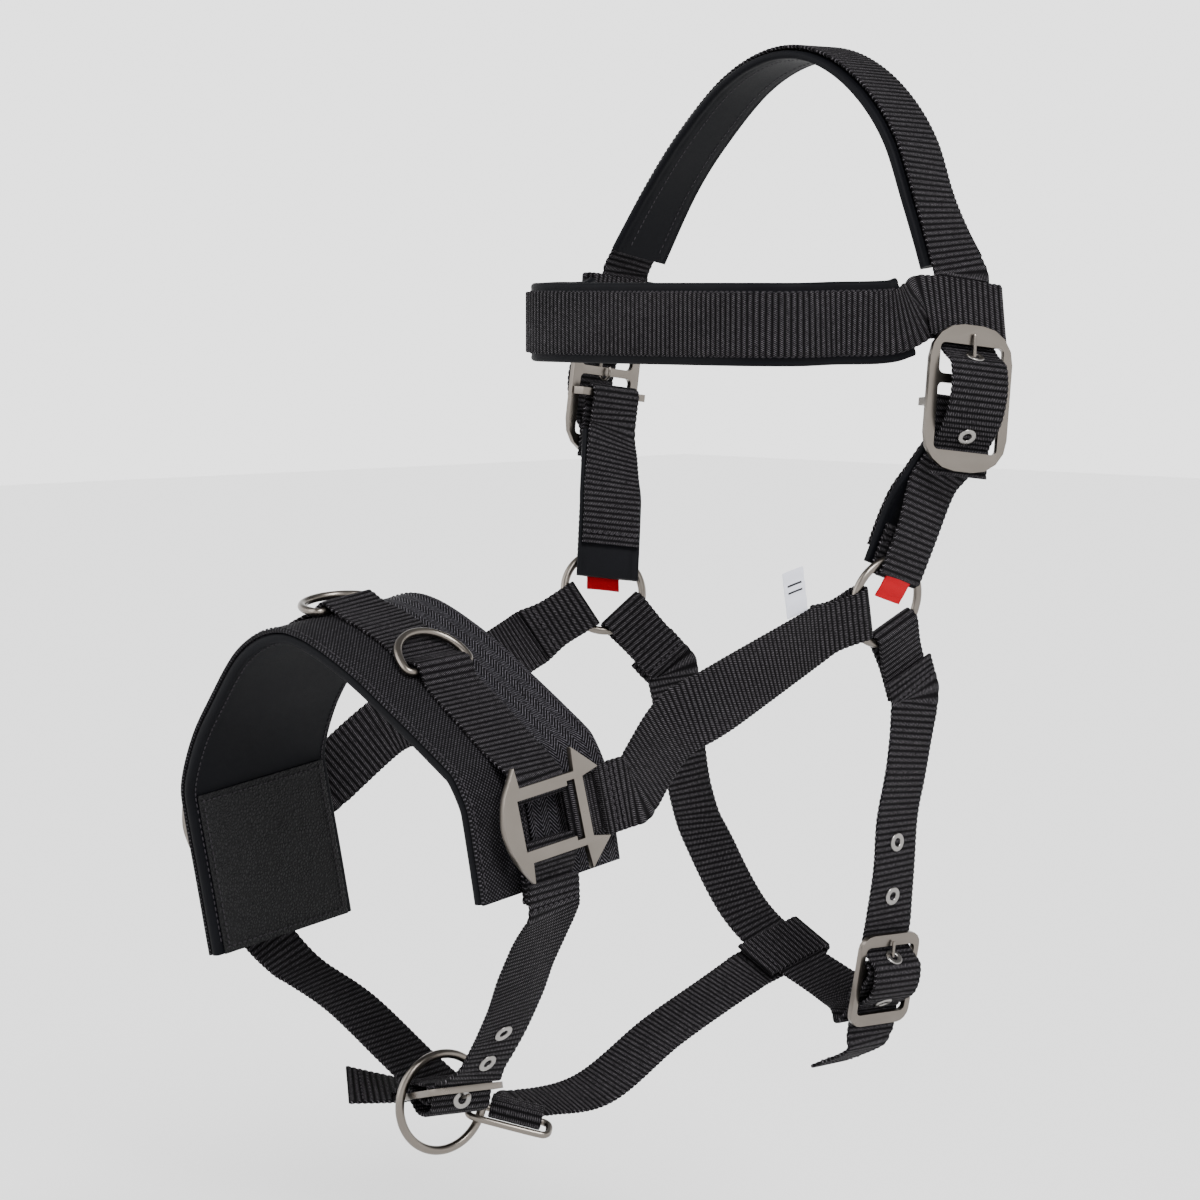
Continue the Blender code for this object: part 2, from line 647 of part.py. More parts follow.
def buckle_fold(name, place, run):
    """The strap that carries a small buckle, folded on its bar and slotted for the tongue."""
    bar = place.at(SMALL_BUCKLE["bar_at"])
    away = Place(bar, place.at(-17.5, -6.9) - bar, place.out)
    turn = away.stations(fold(2.9, lead=20.0), -1.0 if name.startswith("chin") else 1.0)
    strap = ribbon(name, run + turn, WEBBING)
    outline = [(-8.0, -3.0), (6.4, -3.0), (6.4, 3.0), (-8.0, 3.0)]
    cut(strap, plate(name + "_slot", away, outline, -8.0, 8.0, WEBBING))
    return strap


def chin():
    bars = {}
    for side, direction in (("left", (-0.10, 0.12, -0.98)), ("right", (0.05, 0.14, -0.98))):
        fitting = FITTING_PLACE[side]
        bars[side] = Place(fitting.at(-13.85, 0.0, 2.5 * SIDES[side]), direction, fitting.out)
        tab(f"chin_tab_{side}", bars[side], 3.1)
    rear = vec(0.05, 0.99, 0.05)
    near = bars["left"]
    run = route((near.at(13.0, OVER + 0.3), near.across), (near.at(26.0, OVER + 0.3), near.across),
                (vec(93, -268, -399), rear), (vec(77, -262, -417), rear),
                (vec(65, -256, -431), rear), (vec(48, -251, -452), rear),
                (vec(37.5, -252, -467.5), rear),
                (CHIN_PLACE.at(27, -3.6), -CHIN_PLACE.across))
    tail = [(CHIN_PLACE.at(-38.0, -3.0), vec(0.2, 0.97, 0)), (vec(-46, -262, -487), vec(0.3, 0.95, 0))]
    stations = run[:-1] + CHIN_PLACE.stations(SMALL_BILLET[::-1], -1.0) + tail
    strap = ribbon("chin_strap_left", stations, WEBBING)
    eyelet_near("chin_eyelet_1", strap, run, (51, -252, -448))
    eyelet_near("chin_eyelet_2", strap, run, (40, -252, -464))
    point, axis = on_path(CHIN_PLACE, SMALL_BILLET, SMALL_HOLE)
    eyelet("chin_eyelet_3", strap, point, axis)
    far = bars["right"]
    front = vec(-0.05, -0.99, -0.05)
    run = route((far.at(13.0, OVER + 0.3), far.across), (far.at(28.0, OVER + 0.3), far.across),
                (vec(-108, -262, -421), front), (vec(-95, -254, -437), front),
                (vec(-62, -247, -452), front),
                (vec(-24, -243, -474), front))
    buckle_fold("chin_strap_right", CHIN_PLACE, run)
    buckle("chin_buckle", CHIN_PLACE, **SMALL_BUCKLE)
    tongue("chin_tongue", CHIN_PLACE, SMALL_BUCKLE["bar_at"], 20.5, 3.9, 1.0)


def chin_ring_and_link():
    centre, normal = CHIN_PLACE.at(-9.0, 4.2), vec(0.985, -0.174, 0.0)
    ring("chin_ring", centre, normal, CHIN_RING_OUTER, CHIN_RING_WIRE)
    hang = ring_place(centre, normal, -20.0, (CHIN_RING_OUTER - CHIN_RING_WIRE) / 2).origin
    long_way = vec(0.68, 0.68, -0.25)
    link = Place(hang + long_way.normalized() * 13.5, long_way, vec(-0.35, 0.01, -0.925))
    path = [link.at(a, 0.0, s) for a, s in rounded(39.0, 13.0, 4.0, steps=3)]
    rear = link.across if link.across.y > 0 else -link.across
    turns_at(wire("chin_link", path, 2.0, NICKEL, closed=True), link.origin + rear * 6.5)
    return centre, normal, link


def jowl_strap(link):
    e = link.across if link.across.y > 0 else -link.across
    hung = Place(link.at(2.7) + e * 6.5, e, link.out)
    start = hung.stations(fold(2.0, lead=12.0)[::-1], 0.833)
    crossed = vec(54, 5, -30).normalized()
    width = vec(0, -0.96, -0.27)
    width = width - crossed * width.dot(crossed)
    loop = Place(THROAT_CROSSING, width, crossed.cross(width))
    around = loop.stations(fold(1.9, lead=22.0, drop=17.6, half=2.8), -0.833)
    wide = vec(0.9, 0.12, -0.4) * 0.833
    run = route(start[-1], (vec(3, -150, -499), wide), (vec(0, -100, -479), wide),
                (vec(-2, -58, -465), wide), around[0])
    ribbon("jowl_strap", start[:-1] + run + around[1:], WEBBING)


# ---------------------------------------------------------------- throat
THROAT_CROSSING = vec(-2, -9, -449)


def throat(normals):
    seats = {}
    for side in SIDES:
        seats[side] = ring_place(RING_CENTRE[side], normals[side], THROAT_ANGLE[side], RING_RADIUS)
        tab(f"throat_tab_{side}", seats[side], RING_WIRE / 2 + GAP, 30.0, 4.8, 0.86)
    rear = vec(0, 0.96, 0.27)
    far = seats["right"]
    run = route(*[(far.at(along, OVER + 0.3), -far.across) for along in (17.0, 25.0, 33.0)],
                (vec(-66, -12, -374), vec(0, 0.97, 0.2)), (vec(-50, -13, -401), rear),
                (vec(-26, -13, -431), rear), (THROAT_CROSSING, rear), (vec(28, -8, -461), rear),
                (vec(47, -12, -466), rear), (THROAT_PLACE.at(-24, -10), -THROAT_PLACE.across))
    buckle_fold("throat_strap_right", THROAT_PLACE, run)
    near = seats["left"]
    front = -vec(0, 0.99, 0.02)
    run = route(*[(near.at(along, OVER + 0.5), -near.across) for along in (17.5, 25.0, 33.0)],
                (vec(92, -23, -345), front), (vec(88, -25, -370), front), (vec(86, -25, -395), front),
                (THROAT_PLACE.at(27, -3.6), THROAT_PLACE.across))
    tail = [(THROAT_PLACE.at(-38, -5.0), front), (vec(45, -27, -498), front)]
    stations = run[:-1] + THROAT_PLACE.stations(SMALL_BILLET[::-1]) + tail
    strap = ribbon("throat_strap_left", stations, WEBBING)
    eyelet_near("throat_eyelet_1", strap, run, (87, -26, -382))
    eyelet_near("throat_eyelet_2", strap, run, (84, -22, -409))
    for number, index in ((3, SMALL_HOLE), (4, LOW_HOLE)):
        point, axis = on_path(THROAT_PLACE, SMALL_BILLET, index)
        eyelet(f"throat_eyelet_{number}", strap, point, axis)
    buckle("throat_buckle", THROAT_PLACE, **SMALL_BUCKLE)
    tongue("throat_tongue", THROAT_PLACE, SMALL_BUCKLE["bar_at"], 20.5, 3.9, 1.0)


# ---------------------------------------------------------------- label
def size_label():
    edge = vec(0.0, 0.9, 0.45)
    ribbon("size_label", [(vec(92.4, -102, -266), edge), (vec(93.2, -106.5, -244.8), edge)],
           LABEL, 14.0, 0.8)


browband(crown())
ring_normals = cheeks()
noseband()
chin()
jowl_strap(chin_ring_and_link()[2])
throat(ring_normals)
size_label()
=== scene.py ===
# %% [markdown]
# # A webbing headcollar for a horse
# The headcollar is flat woven webbing, foam linings and nickel hardware. Its rigid model is loaded
# first and stays fixed: every strap, lining and fitting below is laid along the piece that it
# stands for. Two kinds of piece leave it by a few millimetres: the side fittings stand further out
# than their frame pieces, and the red tags are longer.

# %% Load the frame
import json
import math

import bmesh
import bpy
import numpy as np
from mathutils import Matrix, Vector


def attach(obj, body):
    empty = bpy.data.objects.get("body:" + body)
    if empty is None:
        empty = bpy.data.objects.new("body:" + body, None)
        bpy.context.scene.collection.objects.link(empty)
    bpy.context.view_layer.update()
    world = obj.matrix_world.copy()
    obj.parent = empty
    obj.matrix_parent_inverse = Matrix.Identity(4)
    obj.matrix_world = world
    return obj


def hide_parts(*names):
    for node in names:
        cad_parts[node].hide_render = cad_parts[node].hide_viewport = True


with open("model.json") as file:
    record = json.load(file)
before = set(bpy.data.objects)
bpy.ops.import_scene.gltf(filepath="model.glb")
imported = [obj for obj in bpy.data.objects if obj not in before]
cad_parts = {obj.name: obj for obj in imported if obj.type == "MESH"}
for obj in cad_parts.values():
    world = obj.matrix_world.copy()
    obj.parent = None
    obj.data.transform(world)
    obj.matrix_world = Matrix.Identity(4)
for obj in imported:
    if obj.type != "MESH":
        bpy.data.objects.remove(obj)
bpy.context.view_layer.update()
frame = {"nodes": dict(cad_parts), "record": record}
bpy.ops.object.select_all(action="DESELECT")
BODIES = {node: body for body, nodes in frame["record"]["behaviour"]["bodies"].items()
          for node in nodes}
MM = 0.001
print("nodes:", len(BODIES))

# %% [markdown]
# ## Finishes
# A finish is a material made of nodes. Sums between node sockets are easier to read as plain
# Python, so a small class stands for a socket and turns +, -, * and / into Math nodes.

# %% Sums on sockets
class Number:
    """A socket that carries one number."""

    def __init__(self, finish, socket):
        self.finish, self.socket = finish, socket

    def math(self, operation, other=None, swap=False):
        values = {0: self}
        if other is not None:
            values = {0: other, 1: self} if swap else {0: self, 1: other}
        return self.finish.node("Math", {"operation": operation}, values)

    def __add__(self, other):
        return self.math("ADD", other)

    def __sub__(self, other):
        return self.math("SUBTRACT", other)

    def __rsub__(self, other):
        return self.math("SUBTRACT", other, swap=True)

    def __mul__(self, other):
        return self.math("MULTIPLY", other)

    def __truediv__(self, other):
        return self.math("DIVIDE", other)

    __radd__, __rmul__ = __add__, __mul__

    def sine(self):
        return self.math("SINE")

    def power(self, other):
        return self.math("POWER", other)

    def size(self):
        return self.math("ABSOLUTE")

    def whole(self):
        return self.math("FLOOR")

    def over(self, other):
        return self.math("GREATER_THAN", other)

    def clip(self):
        return self.math("MAXIMUM", 0.0).math("MINIMUM", 1.0)


# %% A finish
# Black cloth mirrors little: a low level keeps the bright sky from greying it.
METAL_SPECULAR, CLOTH_SPECULAR = 0.5, 0.06


class Finish:
    """A material under construction."""

    def __init__(self, name, colour, roughness, metallic=0.0):
        self.material = bpy.data.materials.new(name)
        self.material.use_nodes = True
        self.tree = self.material.node_tree
        self.shader = self.tree.nodes["Principled BSDF"]
        self.give("Base Color", (*colour, 1.0))
        self.give("Roughness", roughness)
        self.give("Metallic", metallic)
        self.give("Specular IOR Level", METAL_SPECULAR if metallic else CLOTH_SPECULAR)

    def node(self, kind, settings=None, inputs=None, output=0):
        made = self.tree.nodes.new("ShaderNode" + kind)
        for key, value in (settings or {}).items():
            setattr(made, key, value)
        for key, value in (inputs or {}).items():
            self.join(value, made.inputs[key])
        return Number(self, made.outputs[output])

    def join(self, value, socket):
        if isinstance(value, Number):
            self.tree.links.new(value.socket, socket)
        else:
            socket.default_value = value

    def give(self, name, value):
        self.join(value, self.shader.inputs[name])

    def bump(self, height, distance):
        self.give("Normal", self.node("Bump", None, {"Height": height, "Distance": distance,
                                                     "Strength": 1.0}))

    def noise(self, scale, detail=3.0):
        return self.node("TexNoise", None, {"Vector": self.object_place(), "Scale": scale,
                                            "Detail": detail})

    def tint(self, mask, first, second):
        """The first colour where the mask is 0, the second where it is 1."""
        first, second = (shade if isinstance(shade, Number) else (*shade, 1.0)
                         for shade in (first, second))
        return self.node("Mix", {"data_type": "RGBA"}, {0: mask, 6: first, 7: second}, output=2)

    def object_place(self):
        return self.node("TexCoord", None, None, output=3)

    def cloth_place(self):
        """Metres across and along the cloth, from the piece's own UV map."""
        across = self.node("SeparateXYZ", None, {0: self.node("UVMap", {"uv_map": "cloth"})})
        return across, Number(self, across.socket.node.outputs[1])


print("sums that a finish can use:", sum(not name.startswith("_") for name in vars(Number)))


# %% [markdown]
# ## Webbing
# The straps are woven in thick cross ribs. The ribs are real relief in the mesh; the yarns that
# cross each rib are too fine for that, so they are a bump, with a painted highlight on their tops
# that is strongest on a rib's crest.

# %% Webbing finish
RIB = 2.9 * MM
YARN = 0.9 * MM
YARN_SLANT = 0.55


def webbing_finish(name, colour, painted_glint):
    """Slanted yarns that shift by half a yarn from one rib to the next."""
    finish = Finish(name, colour, 0.62)
    across, along = finish.cloth_place()
    row = (along / RIB).whole()
    wave = ((across + along * YARN_SLANT + row * YARN * 0.5) * (math.tau / YARN)).sine()
    fine = finish.noise(scale=900.0)
    patch = finish.noise(scale=55.0)
    # Painted highlight: the yarn tops are coloured lighter, most of all near each rib's crest.
    crest = ((along * (math.pi / RIB)).sine().size() * 1.6 - 0.6).clip()
    bright = (wave.clip().power(2.0) * crest * (fine * 2.2 - 0.45).clip()).clip()
    finish.give("Base Color", finish.tint(bright, colour, painted_glint))
    finish.give("Roughness", 0.72 - bright * 0.22 + patch * 0.1)
    finish.bump(wave * 0.5 + fine * 0.6, 0.16 * MM)
    return finish.material


# The second colour is the painted highlight on the yarn tops of the black webbing.
WEBBING = webbing_finish("black_webbing", (0.0016, 0.0014, 0.0018), (0.118, 0.110, 0.120))
print("ribs in a metre of webbing:", round(1.0 / RIB))

# %% [markdown]
# ## Herringbone and canvas
# The noseband's wide cover is a twill whose yarns turn over in bands, and the strip on it is plain
# canvas. At this size single yarns barely show, so both are drawn by sines across and along the
# cloth instead of modelled, with a painted highlight on the raised yarns: the mesh stays light.
# The yarn pitches are estimates.

# %% Herringbone and canvas finishes
TWILL_BAND, TWILL_YARN, TWILL_SLANT = 9.0 * MM, 1.9 * MM, 0.6
CANVAS_YARN = 1.9 * MM


def herringbone_finish():
    """Bands of slanted yarn that turn over every few millimetres across the strap."""
    # The light colour is a painted highlight on the raised yarns of the black twill.
    dark, light = (0.0014, 0.0013, 0.0018), (0.105, 0.100, 0.115)
    finish = Finish("black_herringbone", dark, 0.66)
    across, along = finish.cloth_place()
    folded = ((across / TWILL_BAND).math("FRACT") * 2.0 - 1.0).size() * TWILL_BAND
    wave = ((along + folded * TWILL_SLANT) * (math.tau / TWILL_YARN)).sine()
    fine = finish.noise(scale=1100.0)
    bright = (wave.clip().power(1.5) * (fine * 2.2 - 0.6).clip()).clip()
    finish.give("Base Color", finish.tint(bright, dark, light))
    finish.give("Roughness", 0.74 - bright * 0.2)
    finish.bump(wave * 0.8 + fine * 0.5, 0.22 * MM)
    return finish.material


def canvas_finish():
    """Plain weave: warp and weft cross at right angles."""
    # The light colour is a painted highlight where the black yarns cross and stand highest.
    dark, light = (0.0016, 0.0015, 0.0019), (0.075, 0.071, 0.080)
    finish = Finish("black_canvas", dark, 0.78)
    across, along = finish.cloth_place()
    turns = math.tau / CANVAS_YARN
    warp, weft = (across * turns).sine(), (along * turns).sine()
    fine = finish.noise(scale=1000.0)
    bright = (warp * weft).clip() * (fine * 1.6 - 0.3).clip()
    finish.give("Base Color", finish.tint(bright, dark, light))
    finish.bump(warp * weft * 0.7 + fine * 0.5, 0.15 * MM)
    return finish.material


HERRINGBONE = herringbone_finish()
CANVAS = canvas_finish()
print("cloth finishes:", [cloth.name for cloth in (WEBBING, HERRINGBONE, CANVAS)])

# %% [markdown]
# ## Foam and grained panel
# The linings are smooth rubber-like foam that is duller in some places than others. The panels
# inside the noseband's ends have a leather-like grain: a Voronoi texture's distance to its cell
# edges gives raised cells with creases, which plain noise can't, and the creases are painted
# darker as shade.

# %% Foam and panel finishes
GRAIN = 620.0


def foam_finish():
    """Closed-cell foam: very dark, finely pitted, with duller patches."""
    finish = Finish("foam_lining", (0.0016, 0.0017, 0.0026), 0.56)
    fine = finish.noise(scale=1600.0, detail=5.0)
    broad = finish.noise(scale=40.0)
    finish.give("Roughness", 0.46 + fine * 0.22 + broad * 0.08)
    finish.give("Base Color", finish.tint(broad, (0.0012, 0.0013, 0.0020),
                                          (0.0028, 0.0030, 0.0042)))
    finish.bump(fine, 0.06 * MM)
    return finish.material


def panel_finish():
    """Grained synthetic leather: small raised cells with creases between them."""
    finish = Finish("grained_panel", (0.0024, 0.0025, 0.0030), 0.42)
    cells = finish.node("TexVoronoi", {"feature": "DISTANCE_TO_EDGE"},
                        {"Vector": finish.object_place(), "Scale": GRAIN})
    finish.give("Specular IOR Level", 0.14)
    broad = finish.noise(scale=60.0)
    finish.give("Roughness", 0.52 - (cells * 2.0).clip() * 0.16 + broad * 0.1)
    # Painted shade: the creases between the cells are coloured darker than the raised cell tops.
    finish.give("Base Color", finish.tint((cells * 3.0).clip(), (0.0012, 0.0012, 0.0015),
                                          (0.0045, 0.0045, 0.0052)))
    finish.bump((cells * 3.0).clip(), 0.30 * MM)
    return finish.material


FOAM = foam_finish()
PANEL = panel_finish()
print("padding finishes:", FOAM.name, PANEL.name)

# %% [markdown]
# ## Metal, ribbon and thread
# The fittings are nickel plated and tumbled, so the metal is satin with faint scratches, not a
# mirror. The tags and the label are tightly woven ribbon, and the thread is too thin to need more
# than its colour.

# %% Metal, ribbon and thread finishes
DULLER = 0.82
RIBBON_WARP, RIBBON_WEFT = 0.5 * MM, 0.45 * MM
STRIPES_AT, STRIPES_APART, STRIPE_HALF, STRIPE_REACH = 8.5 * MM, 1.7 * MM, 0.5 * MM, 5.0 * MM


def nickel_finish(name, colour, roughness):
    """Barrel-polished metal: faint scratches, slightly duller patches."""
    finish = Finish(name, colour, roughness, 1.0)
    broad = finish.noise(scale=90.0)
    fine = finish.noise(scale=1800.0, detail=6.0)
    finish.give("Roughness", roughness + broad * 0.12 + fine * 0.06)
    finish.give("Base Color", finish.tint(broad, colour, tuple(c * DULLER for c in colour)))
    finish.bump(fine + broad * 0.5, 0.02 * MM)
    return finish.material


def woven_label_finish(name, colour, shade, roughness, stripes=False):
    """Fine ribbon, with two plain stripes across it where they are asked for."""
    finish = Finish(name, colour, roughness)
    across, along = finish.cloth_place()
    weft, warp = along * (math.tau / RIBBON_WEFT), across * (math.tau / RIBBON_WARP)
    weave = weft.sine() * warp.sine()
    cloth = finish.tint((weave * 0.5 + 0.5).clip(), colour, shade)
    if stripes:
        from_pair = ((along - STRIPES_AT).size() - STRIPES_APART).size()
        mark = (1.0 - from_pair.over(STRIPE_HALF)) * (1.0 - across.size().over(STRIPE_REACH))
        cloth = finish.tint(mark, cloth, (0.02, 0.02, 0.022))
    finish.give("Base Color", cloth)
    finish.bump(weave, 0.05 * MM)
    return finish.material


NICKEL = nickel_finish("satin_nickel", (0.158, 0.141, 0.124), 0.21)
EYELET = nickel_finish("bright_nickel", (0.25, 0.24, 0.23), 0.2)
RED_TAG = woven_label_finish("red_tag", (0.34, 0.002, 0.008), (0.27, 0.0015, 0.006), 0.55)
WHITE_LABEL = woven_label_finish("white_label", (0.62, 0.63, 0.70), (0.55, 0.56, 0.63), 0.4,
                                 stripes=True)
THREAD = Finish("grey_thread", (0.022, 0.020, 0.023), 0.5).material
print("finishes:", len(bpy.data.materials), "materials in the file")

# %% [markdown]
# ## Reading a strap's route
# Each strap in the frame is a thin four-sided bar: four long edges run from one end to the other.
# Walking those edges from the first end gives the middle line, the width and the thickness at each
# station. A smooth curve through the stations is then cut into steps as fine as the weave needs.

# %% A smooth route
PIECES = 12


class Route:
    """Middle line, half-width vectors and thickness of one strap, in even steps."""

    def __init__(self, centres, halves, thick, step):
        knots = np.concatenate([[0.0], np.cumsum(np.sqrt(
            np.maximum(np.linalg.norm(np.diff(centres, axis=0), axis=1), 1e-6)))])
        both = np.hstack([centres, halves])
        fine = self.smooth(knots, both)
        steps = np.linalg.norm(np.diff(fine[:, :3], axis=0), axis=1)
        gone = np.concatenate([[0.0], np.cumsum(steps)])
        self.length = gone[-1]
        count = max(2, int(round(self.length / step)) + 1)
        self.s = np.linspace(0.0, self.length, count)
        even = np.column_stack([np.interp(self.s, gone, fine[:, k]) for k in range(6)])
        self.centre, half = even[:, :3], even[:, 3:]
        self.along = np.gradient(self.centre, axis=0)
        self.along /= np.linalg.norm(self.along, axis=1)[:, None]
        half = half - self.along * np.sum(half * self.along, axis=1)[:, None]
        self.half_width = np.linalg.norm(half, axis=1)
        self.across = half / self.half_width[:, None]
        self.normal = np.cross(self.across, self.along)
        self.thick = thick

    @staticmethod
    def smooth(knots, values):
        """A curve through all stations that doesn't swing out where they crowd together."""
        rows = [values[0]]
        last = len(knots) - 1
        for i in range(last):
            p1, p2 = values[i], values[i + 1]
            t1, t2 = knots[i], knots[i + 1]
            m1 = (p2 - values[i - 1]) / (t2 - knots[i - 1]) if i else (p2 - p1) / (t2 - t1)
            m2 = ((values[i + 2] - p1) / (knots[i + 2] - t1) if i + 2 <= last
                  else (p2 - p1) / (t2 - t1))
            for k in range(1, PIECES + 1):
                t = k / PIECES
                h = t2 - t1
                rows.append((2 * t**3 - 3 * t**2 + 1) * p1 + (t**3 - 2 * t**2 + t) * h * m1
                            + (3 * t**2 - 2 * t**3) * p2 + (t**3 - t**2) * h * m2)
        return np.array(rows)

    def lengthen(self, up, down):
        """Carry both ends straight on, one upwards and one downwards."""
        first, last = (up, down) if self.centre[0, 2] > self.centre[-1, 2] else (down, up)
        share = np.linspace(0.0, 1.0, len(self.s))[:, None]
        self.centre = (self.centre - self.along * first * (1.0 - share)
                       + self.along * last * share)
        self.s = self.s * (self.length + first + last) / self.length
        self.length += first + last

    def at(self, i, across, out):
        """A point beside station i, in metres across the strap and out of its face."""
        return self.centre[i] + self.across[i] * across + self.normal[i] * out


# %% [markdown]
# ## Walking a strap's edges
# The frame's meshes are loose triangles, so a strap's long edges have to be found. An end is a
# small flat rectangle with four sharp sides. From its corners four walkers go along the sharp
# edges side by side, and where a fold breaks an edge, a walker takes the neighbour that moves it
# least across the strap.

# %% Ends and corners of a strap
MERGE = 0.01 * MM
SHARP = (math.radians(50), math.radians(130))
FLAT = math.radians(15)
LEAST_END = 10 * MM
MOST_ACROSS = 0.75


def end_rims(shape, sharp):
    """The rims of a strap's two ends, found from the flat diagonal inside each."""
    ends = []
    for edge in shape.edges:
        if edge not in sharp and edge.calc_face_angle(1.0) < FLAT:
            rim = [e for face in edge.link_faces for e in face.edges if e is not edge]
            if (len(rim) == 4 and all(e in sharp for e in rim)
                    and max(e.calc_length() for e in rim) > LEAST_END):
                ends.append((sum(face.calc_area() for face in edge.link_faces), rim))
    ends.sort(key=lambda end: end[0])
    return ends[0][1], ends[1][1]


def rim_corners(rim):
    """A rim's corners: the two on one wide side, then the two that face them."""
    wide = sorted(rim, key=lambda e: e.calc_length())[2:]
    first = list(wide[0].verts)
    thin = [e for e in rim if e not in wide]
    return first + [next(e.other_vert(v) for e in thin if v in e.verts) for v in first]


def next_corner(rail, width, sharp, seen):
    """The vertex that carries one long edge on, away from the strap's end."""
    here = rail[-1]
    ahead = [e.other_vert(here) for e in here.link_edges if e in sharp]
    ahead = [v for v in ahead if v not in seen
             and abs((v.co - here.co).normalized().dot(width)) < MOST_ACROSS]
    if ahead:
        way = here.co - rail[-2].co if len(rail) > 1 else width.cross(here.co)
        return max(ahead, key=lambda v: (v.co - here.co).normalized().dot(way))
    ahead = [e.other_vert(here) for e in here.link_edges]
    return min((v for v in ahead if v not in seen),
               key=lambda v: abs((v.co - here.co).dot(width)))


# %% Walk the long edges
def thinned(rail, count):
    """The rail without the points that bend it least, until it has this many."""
    while len(rail) > count:
        bends = [np.linalg.norm(np.cross(b - a, c - b)) for a, b, c in
                 zip(rail, rail[1:], rail[2:])]
        del rail[bends.index(min(bends)) + 1]
    return np.array(rail)


def walk(node):
    """The four long edges of a strap, as lists of points that start at one end."""
    shape = bmesh.new()
    shape.from_mesh(frame["nodes"][node].data)
    bmesh.ops.remove_doubles(shape, verts=shape.verts, dist=MERGE)
    sharp = {edge for edge in shape.edges if SHARP[0] < edge.calc_face_angle(0.0) < SHARP[1]}
    first, last = end_rims(shape, sharp)
    rails = [[v] for v in rim_corners(first)]
    seen = {rail[0] for rail in rails}
    final = {v for e in last for v in e.verts}
    while any(rail[-1] not in final for rail in rails):
        width = (rails[1][-1].co - rails[0][-1].co).normalized()
        for rail in rails:
            if rail[-1] not in final:
                rail.append(next_corner(rail, width, sharp, seen))
                seen.add(rail[-1])
    points = [[np.array(v.co) for v in rail] for rail in rails]
    shape.free()
    fewest = min(len(rail) for rail in points)
    return [thinned(rail, fewest) for rail in points]


def strap_route(node, step):
    a, b, c, d = walk(node)
    centres = (a + b + c + d) / 4
    halves = (b + d - a - c) / 4
    thick = np.median(np.linalg.norm((c + d - a - b) / 2, axis=1))
    return Route(centres, halves, thick, step)


print("long edges of the crown strap:", [len(rail) for rail in walk("crown_strap")], "points")

# %% [markdown]
# ## Sweeping cloth along a route
# A strap's cross-section is a flat rounded bar. It is placed at every station, and each of its
# points may be pushed outwards by a small amount that depends on where it is: that is how ribs,
# grooves under a seam and puckers get into the mesh.

# %% A flat bar's section
def section(half_width, half_thick, corner, columns):
    """Points round a flat bar: its place across and out, then its outward direction."""
    inner_w, inner_t = half_width - corner, half_thick - corner
    flat = np.linspace(-1.0, 1.0, columns)
    top = [(f * inner_w, half_thick, 0.0, 1.0) for f in flat]
    turns = [math.radians(a) for a in (60, 30, 0, -30, -60)]
    side = [(inner_w + corner * math.cos(a), inner_t * (1 if a > 0 else -1 if a < 0 else 0)
             + corner * math.sin(a), math.cos(a), math.sin(a)) for a in turns]
    right_half = top + side
    left_half = [(-x, -y, -u, -v) for x, y, u, v in right_half]
    return np.array(right_half + left_half)


print("points round a strap's section:", len(section(15 * MM, 0.9 * MM, 0.7 * MM, 9)))

# %% Roll a grid into a sleeve
SMOOTH_BELOW = math.radians(50)
WELD = 0.002 * MM


def rolled(name, points, across, along, finish):
    """A grid primitive rolled into a sleeve through rows of points, joined up and closed."""
    rows, count = points.shape[:2]
    bpy.ops.object.select_all(action="DESELECT")
    bpy.ops.mesh.primitive_grid_add(x_subdivisions=count, y_subdivisions=rows - 1, size=1.0)
    piece = bpy.context.object
    piece.name = name
    mesh = piece.data
    lap = np.arange(count + 1) % count
    mesh.vertices.foreach_set("co", points[:, lap].reshape(-1))
    corners = np.zeros(len(mesh.loops), dtype=np.int64)
    mesh.loops.foreach_get("vertex_index", corners)
    flat = np.stack([across[:, lap], np.repeat(along[:, None], count + 1, axis=1)], axis=-1)
    mesh.uv_layers[0].name = "cloth"
    mesh.uv_layers[0].data.foreach_set("uv", flat.reshape(-1, 2)[corners].reshape(-1))
    mesh.materials.append(finish)
    bpy.ops.object.mode_set(mode="EDIT")
    bpy.ops.mesh.select_all(action="SELECT")
    bpy.ops.mesh.remove_doubles(threshold=WELD)
    bpy.ops.mesh.fill_holes(sides=0)
    bpy.ops.mesh.select_all(action="SELECT")
    bpy.ops.mesh.normals_make_consistent(inside=False)
    bpy.ops.object.mode_set(mode="OBJECT")
    bpy.ops.object.shade_smooth_by_angle(angle=SMOOTH_BELOW)
    return piece


def sweep(name, route, finish, corner, columns=9, push=None):
    """A strap's section at every station; push() says how far each point moves outwards."""
    half_w, half_t = float(np.median(route.half_width)), route.thick / 2
    ring = section(half_w, half_t, min(corner, half_t * 0.98), columns)
    scale = (route.half_width / np.median(route.half_width))[:, None]
    across = ring[None, :, 0] * scale
    out = np.repeat(ring[None, :, 1], len(route.s), axis=0)
    if push is not None:
        amount = push(route.s[:, None], across, ring[None, :, 3])
        across = across + amount * ring[None, :, 2]
        out = out + amount * ring[None, :, 3]
    points = (route.centre[:, None, :] + route.across[:, None, :] * across[..., None]
              + route.normal[:, None, :] * out[..., None])
    return rolled(name, points, np.broadcast_to(across, out.shape), route.s, finish)


def activate(piece):
    bpy.ops.object.select_all(action="DESELECT")
    piece.select_set(True)
    bpy.context.view_layer.objects.active = piece


def declare(piece, slot, *nodes):
    """The piece stands for these nodes and moves with the first one's body."""
    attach(piece, BODIES[nodes[0]])
    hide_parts(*nodes)


# %% [markdown]
# ## Ribbed straps
# Every strap is the same webbing, so one push makes all of them. Its ribs are round arches, a
# little uneven because a loom never packs the yarns quite alike, and the strap's edges scallop in
# step with them. Ribs as geometry catch the light and show in the outline, where a bump can't.

# %% Make the straps
RIB_DEPTH = 0.48 * MM
RIB_STEPS = 8
RIB_SWAY = 0.35 * MM


